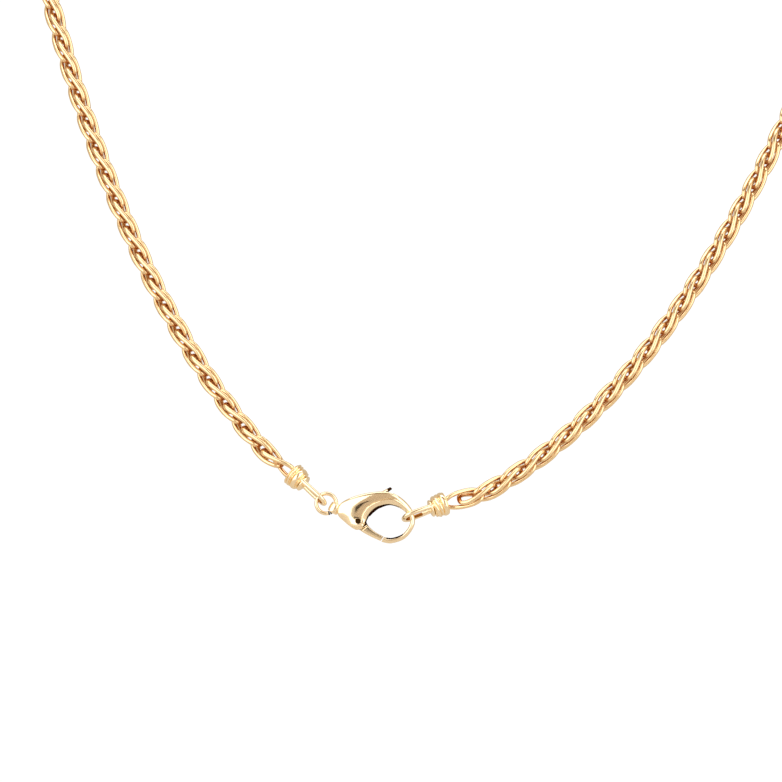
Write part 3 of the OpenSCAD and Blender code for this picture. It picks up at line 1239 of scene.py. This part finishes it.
@dataclass
class ClaspLever:
    """The sprung lever: a trigger above the body, a hub on the pin and the gate.

    Places along it, such as the shoulder where the gate starts, are counted in nodes
    from the trigger's tip.
    """

    base: ClaspFrame
    gate_thick: float = 2.0
    shoulder: tuple[float, float] = (6.75, 6.95)
    hub_r: float = 0.58
    inner: Array = flat_points(
        [5.3, 6.7], [3.5, 4.75], [2.2, 3.4], [1.35, 2.1], [1.25, 1.2], [1.27, 0.6],
        [1.3, 0.2], [2.0, -0.7], [3.25, -1.53], [4.92, -2.18])
    outer: Array = flat_points(
        [4.9, 6.98], [2.9, 5.55], [1.0, 4.1], [-0.5, 2.1], [-1.05, 0.4], [-0.95, -0.65],
        [-0.2, -1.14], [0.87, -1.8], [2.5, -2.45], [4.5, -3.04])
    # The rounding of both edges, and how far each of the gate's faces falls off outwards
    inner_edge: float = 0.15
    outer_edge: float = 0.35
    crown: float = 0.05
    # Where the painted dark reflection on the trigger's tip ends, and where the painted shade on
    # the plate between the cheeks starts and ends
    tip_to: float = 0.4
    plate: tuple[float, float] = (3, 6.75)
    # Columns between the curves, rungs to a node, and points on a curve to measure from
    columns: int = 24
    per_node: int = 20
    measured_on: int = 200

    def half_height(self, flat: Array) -> Array:
        """Works out half the thickness: a plate with rounded edges and a thicker gate.

        Near an edge it loses r - sqrt(r^2 - (r - d)^2), where d is the distance from
        the edge and r its rounding. The gate's faces fall off by crown s^2 towards the
        outer edge, with s the share of the way to it.

        Args:
            flat: The ladder's points.

        Returns:
            The half thickness at each point.
        """
        along = np.linspace(0, len(self.outer) - 1, flat.shape[0])[:, None]
        gate = ease(along, *self.shoulder)
        thick = self.base.lever_thick
        half = (thick + (self.gate_thick - thick) * gate) / 2
        u = np.linspace(0, len(self.outer) - 1, self.measured_on)
        for line, r in ((self.inner, self.inner_edge), (self.outer, self.outer_edge)):
            depth = distance_to(spline(line, u), flat)
            half = half - r * (1 - roundness(depth, r))
        across = np.linspace(0, 1, flat.shape[1])[None, :]
        return half - self.crown * across**2 * gate

    def build(self, metal: bpy.types.Material, inside: bpy.types.Material) -> None:
        """Makes the lever and bores its hub.

        Args:
            metal: The polished metal.
            inside: The dark brown metal, painted as a dark reflection on the trigger's tip and as
                shade between the cheeks.
        """
        ladder = Ladder([self.inner, self.outer], (self.columns,), self.per_node)
        flat = ladder.grid()
        shape = ladder.skin(flat, self.half_height(flat)).placed(self.base.place())
        along = ladder.face_places(flat)[0]
        # Painted dark reflection on the trigger's tip and painted shade on the plate between the
        # cheeks
        piece = make_piece("trigger_and_gate", shape, metal, inside,
                           second=(along < self.tip_to) | between(along, *self.plate))
        combine(piece, self.base.rod("hub", self.hub_r, self.base.lever_thick), Join.CUT)
        settle(piece, Body.LEVER, Slot.CLASP, "clasp_lever")


@dataclass
class PivotPin:
    """The pin that the lever turns on, sunk a little into both cheeks."""

    base: ClaspFrame
    half: float = 1.3

    def build(self, metal: bpy.types.Material) -> None:
        """Makes the pin.

        Args:
            metal: The pin's dark metal, which paints the shade of its recess.
        """
        piece = self.base.rod("sunk_pin", self.base.pin_r, self.half)
        piece.data.materials.append(metal)
        settle(piece, Body.NECKLACE, Slot.CLASP, "pivot_pin")


@dataclass
class JumpRing:
    """The cut ring through the tail of the clasp and the left cap's eye."""

    base: ClaspFrame
    at: tuple[float, float] = (-6.32, 2.35)
    # Across the middle of the wire, and across the wire
    ring_d: float = 3.66
    wire: float = 0.72
    # Degrees that the seam is open by and lies at, and the rows of faces beside each sawn
    # end that take a painted shadow as well
    seam: float = 3
    seam_at: float = -62
    seam_shade_rows: int = 2
    points: int = 97
    sides: int = 20

    def build(self, metal: bpy.types.Material, inside: bpy.types.Material) -> None:
        """Makes the ring as an arc of a circle that stops short at the seam.

        Args:
            metal: The polished metal.
            inside: The dark metal painted as a shadow at both ends of the arc, where it was sawn.
        """
        a = np.radians(np.linspace(self.seam_at + self.seam, self.seam_at + 360, self.points))
        path = np.stack([self.at[0] + self.ring_d / 2 * np.cos(a),
                         self.at[1] + self.ring_d / 2 * np.sin(a), 0 * a], axis=-1)
        shape = tube(path, self.wire / 2, np.array([0.0, 0.0, 1.0]), self.sides)
        rung = np.arange(len(shape.faces)) // self.sides
        # Painted shadow: the faces beside the seam take the dark metal
        piece = make_piece("cut_ring", shape.placed(self.base.place()), metal, inside,
                           second=np.minimum(rung, rung.max() - rung) <= self.seam_shade_rows)
        settle(piece, Body.NECKLACE, Slot.CLASP, "jump_ring")


@dataclass
class PhotoCamera:
    """A level camera far in front of the clasp, rolled a little, as in the photograph."""

    # The clasp's pin, and the pixel across and down the square picture that it falls on
    pin: tuple[float, float, float] = (-8.3, -73.23, -125.716)
    pin_pixel: tuple[float, float] = (358.5, 521)
    pixels: float = 782
    # Pixels to a millimetre at the pin
    scale: float = 5.45
    distance: float = 1580
    roll: float = 3.55
    sensor: float = 36
    # In metres, well past the room's floor
    clip_end: float = 100

    def build(self) -> None:
        """Places the camera so that the pin falls on its pixel at the wanted scale.

        In pixels, the focal length is scale x distance. With a the pin's offset from the
        picture's middle, across and down, as a share of that, the camera's place is
        pin - (forward + a0 right - a1 up) x distance.
        """
        forward = np.array([0.0, 1.0, 0.0])
        c, s = math.cos(math.radians(self.roll)), math.sin(math.radians(self.roll))
        right, up = np.array([c, 0, s]), np.array([-s, 0, c])
        focal = self.scale * self.distance
        a = (np.array(self.pin_pixel) - self.pixels / 2) / focal
        where = np.array(self.pin) - (forward + a[0] * right - a[1] * up) * self.distance
        data = bpy.data.cameras.new("camera")
        data.sensor_width = self.sensor
        data.lens = focal / self.pixels * self.sensor
        data.clip_end = self.clip_end
        made = add_object("camera", data)
        made.matrix_world = Matrix([[*row, w * MM] for row, w in
                                    zip(np.stack([right, up, -forward], axis=-1), where)]
                                   + [[0, 0, 0, 1]])
        bpy.context.scene.camera = made


def facing(forward: Array) -> Matrix:
    """Makes the turn that points an object's own -Z along a direction, with Y up.

    Its z is the direction reversed, its x is up x z, and its y is z x x.

    Args:
        forward: The direction, which isn't straight up or down.

    Returns:
        A 3 x 3 matrix.
    """
    z = -unit(forward)
    x = unit(np.cross(np.array([0.0, 0.0, 1.0]), z))
    return Matrix(np.stack([x, np.cross(z, x), z], axis=-1).tolist())


@dataclass
class Studio:
    """A white room: pale floor, white surround, soft lights and dark cards for contrast."""

    # The place beside the clasp that lights and cards are measured from and face
    focus: tuple[float, float, float] = (-5, -73, -120)
    floor_drop: float = 300
    floor_r: float = 1500
    floor_sides: int = 96
    light_distance: float = 2000
    # How bright the white room is to the camera, and how bright on the metal
    backdrop: float = 1.05
    surround: float = 0.66

    def floor(self) -> None:
        """Lays the round pale floor under the necklace."""
        a = round_angles(self.floor_sides)
        rim = np.stack([self.floor_r * np.cos(a), self.floor_r * np.sin(a),
                        np.full_like(a, self.focus[2] - self.floor_drop)], axis=-1) * MM
        mesh = bpy.data.meshes.new("floor")
        mesh.from_pydata(rim, [], [list(range(self.floor_sides))])
        mesh.materials.append(Paint("pale_floor_paint", "#DDD8D0").material())
        add_object("floor", mesh)

    def stand(self, data: bpy.types.ID, name: str, azimuth: float, elevation: float,
              distance: float, tilt: float = 0) -> bpy.types.Object:
        """Stands a light or card at a bearing from the clasp, facing it, out of sight.

        With a and e the azimuth and elevation, it lies from the clasp along
        [sin(a) cos(e), -cos(a) cos(e), sin(e)].

        Args:
            data: The light or the card's mesh.
            name: Its name.
            azimuth: Bearing from straight in front, towards the viewer's right.
            elevation: Angle above the horizon.
            distance: Distance from the clasp.
            tilt: Turn about the line to the clasp, in degrees.

        Returns:
            The new object.
        """
        a, e = math.radians(azimuth), math.radians(elevation)
        back = np.array([math.sin(a) * math.cos(e), -math.cos(a) * math.cos(e), math.sin(e)])
        made = add_object(name, data)
        made.location = (np.array(self.focus) + back * distance) * MM
        tilted = facing(-back) @ Matrix.Rotation(math.radians(tilt), 3, "Z")
        made.rotation_euler = tilted.to_euler()
        made.visible_camera = False
        return made

    def light(self, name: str, azimuth: float, elevation: float, size: tuple[float, float],
              radiance: float) -> None:
        """Hangs one white soft box, whose power is radiance x pi x its area.

        Args:
            name: Its name.
            azimuth: Bearing from straight in front, towards the viewer's right.
            elevation: Angle above the horizon.
            size: Width and height.
            radiance: How bright its face looks, against 1 for white.
        """
        data = bpy.data.lights.new(name, "AREA")
        data.shape = "RECTANGLE"
        data.size, data.size_y = size[0] * MM, size[1] * MM
        data.energy = radiance * math.pi * data.size * data.size_y
        self.stand(data, name, azimuth, elevation, self.light_distance)

    def card(self, name: str, azimuth: float, elevation: float, distance: float,
             size: tuple[float, float], colour: str, tilt: float = 0) -> None:
        """Stands one matt card, which the metal reflects as a darker patch.

        Args:
            name: Its name.
            azimuth: Bearing from straight in front, towards the viewer's right.
            elevation: Angle above the horizon.
            distance: Distance from the clasp.
            size: Width and height.
            colour: The card's colour.
            tilt: Turn about the line to the clasp, in degrees.
        """
        w, h = size[0] / 2 * MM, size[1] / 2 * MM
        mesh = bpy.data.meshes.new(name)
        mesh.from_pydata([(-w, -h, 0), (w, -h, 0), (w, h, 0), (-w, h, 0)], [], [(0, 1, 2, 3)])
        mesh.materials.append(Paint(f"{name}_paint", colour).material())
        self.stand(mesh, name, azimuth, elevation, distance, tilt)

    def build(self) -> None:
        """Sets up the room, which is plain white to the camera and warmer on the metal."""
        self.floor()
        world = bpy.data.worlds.new("white_room")
        world.use_nodes = True
        tree = world.node_tree
        tree.nodes.clear()
        ray = add_node(tree, "ShaderNodeLightPath")
        seen = add_node(tree, "ShaderNodeBackground",
                        {"Color": linear("#FFFFFF"), "Strength": self.backdrop})
        felt = add_node(tree, "ShaderNodeBackground",
                        {"Color": linear("#FFF0DC"), "Strength": self.surround})
        both = add_node(tree, "ShaderNodeMixShader", links={
            0: ray.outputs["Is Camera Ray"], 1: felt.outputs[0], 2: seen.outputs[0]})
        add_node(tree, "ShaderNodeOutputWorld", links={"Surface": both.outputs[0]})
        bpy.context.scene.world = world
        bpy.context.scene.view_settings.view_transform = "Standard"
        self.light("left_box", azimuth=-43, elevation=10, size=(2530, 2860), radiance=1.35)
        self.light("right_box", azimuth=50, elevation=15, size=(2000, 2570), radiance=1.25)
        self.light("top_box", azimuth=0, elevation=86, size=(2570, 860), radiance=1.8)
        self.card("pale_card", azimuth=2.5, elevation=22, distance=620, size=(240, 940),
                  colour="#EFE6DF")
        self.card("dark_card", azimuth=-4.2, elevation=-0.5, distance=560, size=(86, 40),
                  colour="#1D160D", tilt=32)
        self.card("olive_card", azimuth=5, elevation=62, distance=640, size=(420, 130),
                  colour="#7E6A42")


def main() -> None:
    """Builds the necklace, the camera and the room, in order."""
    logging.basicConfig(level=logging.INFO, format="%(message)s")
    # Gold wire drawn, woven and tumbled: soft bright reflections, and a deep orange between links
    # that is partly gold reflected in gold and partly painted shade
    chain_metal = Gold("drawn_gold_polished", colour="#FADFB2", roughness=0.14, wear_mm=0.6,
                       wear_depth_mm=0.003, shade_colour="#BF742C").material()
    # Gold cast and buffed to a mirror: sharp reflections, and paler than the chain
    clasp_metal = Gold("cast_gold_mirror", colour="#FFECC9", roughness=0.08, wear_mm=1.2,
                       wear_depth_mm=0.002).material()
    # A dark brown that paints shade on the clasp's inner wall, hook tip, slot and lever, and a
    # shadow at the ring's sawn ends
    shade_metal = Gold("cast_gold_painted_shade", colour="#3A2210", roughness=0.5, wear_mm=0.3,
                       wear_depth_mm=0.004, edge_colour="#7A5430").material()
    # An orange brown that paints shade on the inside of each cap's eye
    eye_metal = Gold("drawn_gold_eye_shade", colour="#A5682C", roughness=0.3, wear_mm=0.3,
                     wear_depth_mm=0.004, edge_colour="#CC9A60").material()
    # Gold pin sunk in its hole, coloured dark brown to paint the shade of the recess, with a weak
    # shine
    pin_shade_metal = Gold("turned_gold_pin_shade", colour="#3E2A12", roughness=0.35, wear_mm=0.3,
                     wear_depth_mm=0.004).material()
    route = Route()
    LOG.info("route %.2f mm", route.length)
    WheatChain(route).build(chain_metal)
    EndCap(route, Side.LEFT, heading=-41, roll=4, starts=2, wraps=5,
           collar=(0.5, 0.86), buffed=0.76).build(clasp_metal, eye_metal)
    EndCap(route, Side.RIGHT, heading=205.5, roll=-1, starts=3, wraps=3.5,
           collar=(0.1, 0.44), buffed=0.42).build(clasp_metal, eye_metal)
    clasp = ClaspFrame(route)
    JumpRing(clasp).build(clasp_metal, shade_metal)
    ClaspBody(clasp).build(clasp_metal, shade_metal)
    ClaspLever(clasp).build(clasp_metal, shade_metal)
    PivotPin(clasp).build(pin_shade_metal)
    PhotoCamera().build()
    Studio().build()


if __name__ == "__main__":
    main()
